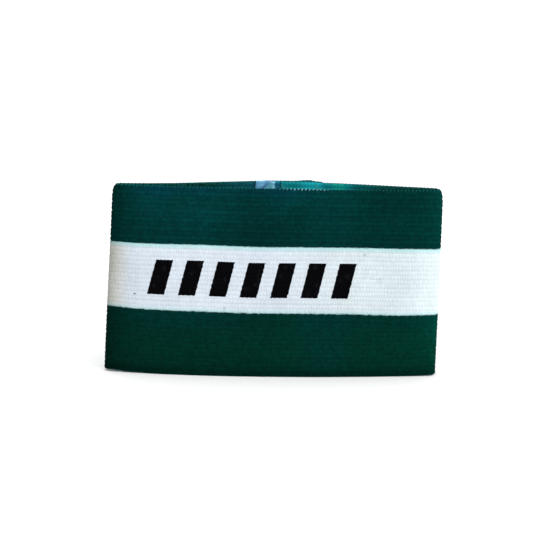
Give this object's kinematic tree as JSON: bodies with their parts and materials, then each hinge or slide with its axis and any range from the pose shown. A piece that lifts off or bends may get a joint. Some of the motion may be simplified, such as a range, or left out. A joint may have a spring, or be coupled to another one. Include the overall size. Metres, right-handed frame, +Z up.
{
  "type": "captain armband",
  "caption": "Wide ribbed elastic armband in green and white stripes with a plain slanted black bar print, lapped and sewn into a loop, a small label inside the seam.",
  "frame": {"origin": "on the surface the armband stands on, under the middle of its box", "axes": "+Z up along the strip's width, +X from the left fold to the right fold, the printed front faces -Y and the lapped seam is at +Y"},
  "size_m": [0.131, 0.0206, 0.0748],
  "materials": {
    "elastic": "ribbed knitted elastic, matt, dark green with a white middle stripe",
    "label_satin": "folded satin label, pale blue-white, soft sheen",
    "print_ink": "matt black ink printed on the knit"
  },
  "bodies": {
    "root": {"elastic_band": "elastic", "label": "label_satin", "print_bar_1": "print_ink", "print_bar_2": "print_ink", "print_bar_3": "print_ink", "print_bar_4": "print_ink", "print_bar_5": "print_ink", "print_bar_6": "print_ink", "print_bar_7": "print_ink"}
  },
  "joints": []
}
